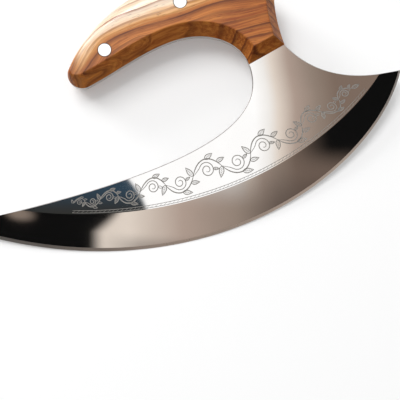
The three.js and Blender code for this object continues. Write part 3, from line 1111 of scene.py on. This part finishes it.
room = bpy.data.worlds.new("room")
bpy.context.scene.world = room
room.use_nodes = True
room.node_tree.nodes.clear()
direction = Strand(room.node_tree).node("ShaderNodeTexCoord", out="Generated")
upward = split(direction)[2]
patches = noise(direction, ROOM_PATCH_SCALE, detail=1)
brightness = fade(upward + (patches - 0.5) * ROOM_PATCH_DEPTH, *ROOM_RISE)
room_tone = blend(brightness, grey(ROOM_LOW), grey(ROOM_HIGH))
shine = upward.node("ShaderNodeBackground", None, {"Color": room_tone, "Strength": 1.0})
shine.node("ShaderNodeOutputWorld", None, {"Surface": shine})
print("room light", ROOM_LOW, "to", ROOM_HIGH)

# %% [markdown]
# ## Camera
# The camera looks almost straight down on the flat of the blade, tipped a few degrees towards the edge.
# It is placed in the view's own frame: its origin is on the front of the blade in the middle of the
# picture, with X to the right of the picture, Y up it and Z towards the camera.

# %% Camera
VIEW_TURN = 19.455
VIEW_SHIFT = Vector((-9.778, 24.334))
VIEW_PITCH = 6.0
VIEW_DISTANCE = 454.5
LENS = 90.0
SENSOR = 36.0
NEAREST_SEEN = 0.01

to_view = Matrix.Translation((VIEW_SHIFT.x * MM, VIEW_SHIFT.y * MM, -half_plate * MM))
to_view = to_view @ Matrix.Rotation(math.radians(VIEW_TURN), 4, "Z")
VIEW = KNIFE @ to_view.inverted()
camera_data = bpy.data.cameras.new("camera")
camera_data.sensor_width = SENSOR
camera_data.lens = LENS
camera_data.clip_start = NEAREST_SEEN
camera = bpy.data.objects.new("camera", camera_data)
bpy.context.collection.objects.link(camera)
pitch = Matrix.Rotation(math.radians(VIEW_PITCH), 4, "X")
camera.matrix_world = VIEW @ pitch @ Matrix.Translation((0, 0, VIEW_DISTANCE * MM))
bpy.context.scene.camera = camera
print("camera at, m:", [round(value, 3) for value in camera.matrix_world.translation])

# %% [markdown]
# ## Light
# A large soft lamp stands high at the upper left of the picture, as a window would, so the finger side of
# the handle falls into shade. A small one stands low on the same side and mainly brightens the crown.

# %% Lamps
LAMP_AIM = Vector((0, 30, 0))


def add_lamp(name, at_mm, size_m, watts):
    """A square lamp at a place in the view's frame."""
    data = bpy.data.lights.new(name, "AREA")
    data.shape = "SQUARE"
    data.size = size_m
    data.energy = watts
    lamp = bpy.data.objects.new(name, data)
    bpy.context.collection.objects.link(lamp)
    start, goal = VIEW @ (Vector(at_mm) * MM), VIEW @ (LAMP_AIM * MM)
    lamp.location = start
    lamp.rotation_euler = (goal - start).to_track_quat("-Z", "Y").to_euler()
    return lamp


window = add_lamp("window", at_mm=(-630, 840, 1480), size_m=1.0, watts=20.0)
low_window = add_lamp("low_window", at_mm=(-1120, 930, 400), size_m=0.5, watts=8.0)
print("lamps:", window.data.energy, "and", low_window.data.energy, "W")

# %% [markdown]
# ## What the mirror sees
# Polished steel shows its surroundings and little else, so a photographer hangs cards over it: a white
# one, with grey and dark cards beside it. One big card with a soft pattern stands for these. It shows in
# reflections only. Its pattern is in millimetres of the view's frame, like the lamps' places.

# %% Colours of the card
CARD_WHITE = (1.0, 1.0, 1.0, 1)
CARD_CREAM = (0.85, 0.83, 0.805, 1)
CARD_PEARL = (0.72, 0.635, 0.56, 1)
CARD_SAND = (0.41, 0.32, 0.27, 1)
CARD_TAN = (0.28, 0.22, 0.18, 1)
CARD_UMBER = (0.2, 0.145, 0.115, 1)
CARD_BROWN = (0.12, 0.09, 0.075, 1)
CARD_DARK = (0.075, 0.052, 0.043, 1)
CARD_NIGHT = (0.03, 0.03, 0.028, 1)
CARD_NAVY = (0.028, 0.053, 0.08, 1)
CARD_BLACK = (0.004, 0.004, 0.004, 1)
WHITE_SIDE = [(0.0, CARD_WHITE), (0.12, CARD_CREAM), (0.2, CARD_PEARL), (0.34, CARD_SAND),
              (0.52, CARD_TAN), (0.7, CARD_UMBER)]
WARM_SIDE = [(0.16, CARD_PEARL), (0.34, CARD_SAND), (0.52, CARD_TAN), (0.66, CARD_BROWN),
             (0.8, CARD_DARK)]
EDGE_SIDE = [(0.31, CARD_BLACK), (0.43, CARD_SAND), (0.56, CARD_TAN), (0.66, CARD_TAN),
             (0.71, CARD_SAND), (1.0, CARD_PEARL)]


def ramp(value, start, end, stops):
    """The colours of the stops, which lie at shares of the way from start to end."""
    return value.node("ShaderNodeValToRGB", {"stops": stops}, {"Fac": (value - start) / (end - start)})


print("stops of the card's sides:", len(WHITE_SIDE), len(WARM_SIDE), len(EDGE_SIDE))

# %% Dark flag at the left
CARD_HEIGHT = 450.0
FLAG_MIDDLE, FLAG_BORDER, FLAG_BULGE, FLAG_LIMIT = 20, -45, 0.0093, -92.0
FLAG_SOFT, FLAG_SOFTER, FLAG_SOFTENS = 3, 7, (-20, -45)
FLAG_TOP = (130, 95)
NIGHT_RISE, NAVY_RISE = (8, 30), (34, 60)
GLINT_MIDDLE, GLINT_REACH = (-177, -43, CARD_HEIGHT), (24, 9, 1)
GLINT_CORE, GLINT_SHARE = 0.2, 0.8


def left_flag(place, x, y):
    """How far a flag with a curved border covers the card, and its tone."""
    from_middle = y - FLAG_MIDDLE
    curved = FLAG_BORDER - from_middle * from_middle * FLAG_BULGE
    border = curved.math("MAXIMUM", curved, FLAG_LIMIT)
    softness = FLAG_SOFT + fade(y, *FLAG_SOFTENS) * FLAG_SOFTER
    cover = fade((x - border) / softness, 1, -1) * fade(y, *FLAG_TOP)
    tone = blend(fade(y, *NIGHT_RISE), CARD_BLACK, CARD_NIGHT)
    tone = blend(fade(y, *NAVY_RISE), tone, CARD_NAVY)
    glint = fade(oval_distance(place, GLINT_MIDDLE, GLINT_REACH), 1.0, GLINT_CORE)
    return cover, blend(glint * GLINT_SHARE, tone, CARD_TAN)


print("the flag's border swings from", FLAG_LIMIT, "to", FLAG_BORDER, "mm")

# %% Reflected card
CARD_LOW, CARD_HIGH = (-420, -420), (375, 330)
CARD_SHINE = 1.3
WHITE_REACH, WARM_REACH, EDGE_REACH = (50, 160), (-110, 210), (-300, 340)
WHITE_SHIFT, WHITE_SHIFTS = 8, (130, 190)
WHITE_RISE = (-25, 45)
SHADE_FALL, SHADE_ACROSS, SHADE = (-47, -62), (-100, -40), 0.45
RIGHT_ACROSS, RIGHT_RISE, RIGHT_FALL, RIGHT_SLANT = (100, 175), (10, 40), (33, 19), 0.5
EDGE_FALL, EDGE_SLANT = (48, 74), 0.25


def card_finish():
    finish, place = start_finish("card_pattern")
    x, y = split(place)[:2]
    white_side = ramp(x + fade(y, *WHITE_SHIFTS) * WHITE_SHIFT, *WHITE_REACH, WHITE_SIDE)
    warm_side = ramp(x, *WARM_REACH, WARM_SIDE)
    edge_side = ramp(x, *EDGE_REACH, EDGE_SIDE)
    pattern = blend(fade(y, *WHITE_RISE), warm_side, white_side)
    pattern = blend(fade(y, *SHADE_FALL) * fade(x, *SHADE_ACROSS) * SHADE, pattern, CARD_BLACK)
    right_flag = fade(x, *RIGHT_ACROSS) * fade(y, *RIGHT_RISE) * fade(y - x * RIGHT_SLANT, *RIGHT_FALL)
    pattern = blend(right_flag, pattern, CARD_BLACK)
    cover, flag_tone = left_flag(place, x, y)
    pattern = blend(cover, pattern, flag_tone)
    pattern = blend(fade(x * EDGE_SLANT - y, *EDGE_FALL), pattern, edge_side)
    shine = place.node("ShaderNodeEmission", None, {"Color": pattern, "Strength": CARD_SHINE})
    place.node("ShaderNodeOutputMaterial", None, {"Surface": shine})
    return finish


def hang_card(name, low, high, finish):
    """A card over the knife that shows in reflections only."""
    mesh = bpy.data.meshes.new(name)
    corners = [low, (low[0], high[1]), high, (high[0], low[1])]
    mesh.from_pydata([(x, y, CARD_HEIGHT) for x, y in corners], [], [(0, 1, 2, 3)])
    lay_down(mesh, VIEW)
    mesh.materials.append(finish)
    card = bpy.data.objects.new(name, mesh)
    bpy.context.collection.objects.link(card)
    for kind in ("camera", "diffuse", "transmission", "volume_scatter", "shadow"):
        setattr(card, "visible_" + kind, False)


hang_card("card", CARD_LOW, CARD_HIGH, card_finish())
print("card", CARD_HEIGHT, "mm over the blade")

# %% [markdown]
# ## Colour view
# Colours are shown as they are, without a film look.

# %% Colour view
bpy.context.scene.view_settings.view_transform = "Standard"
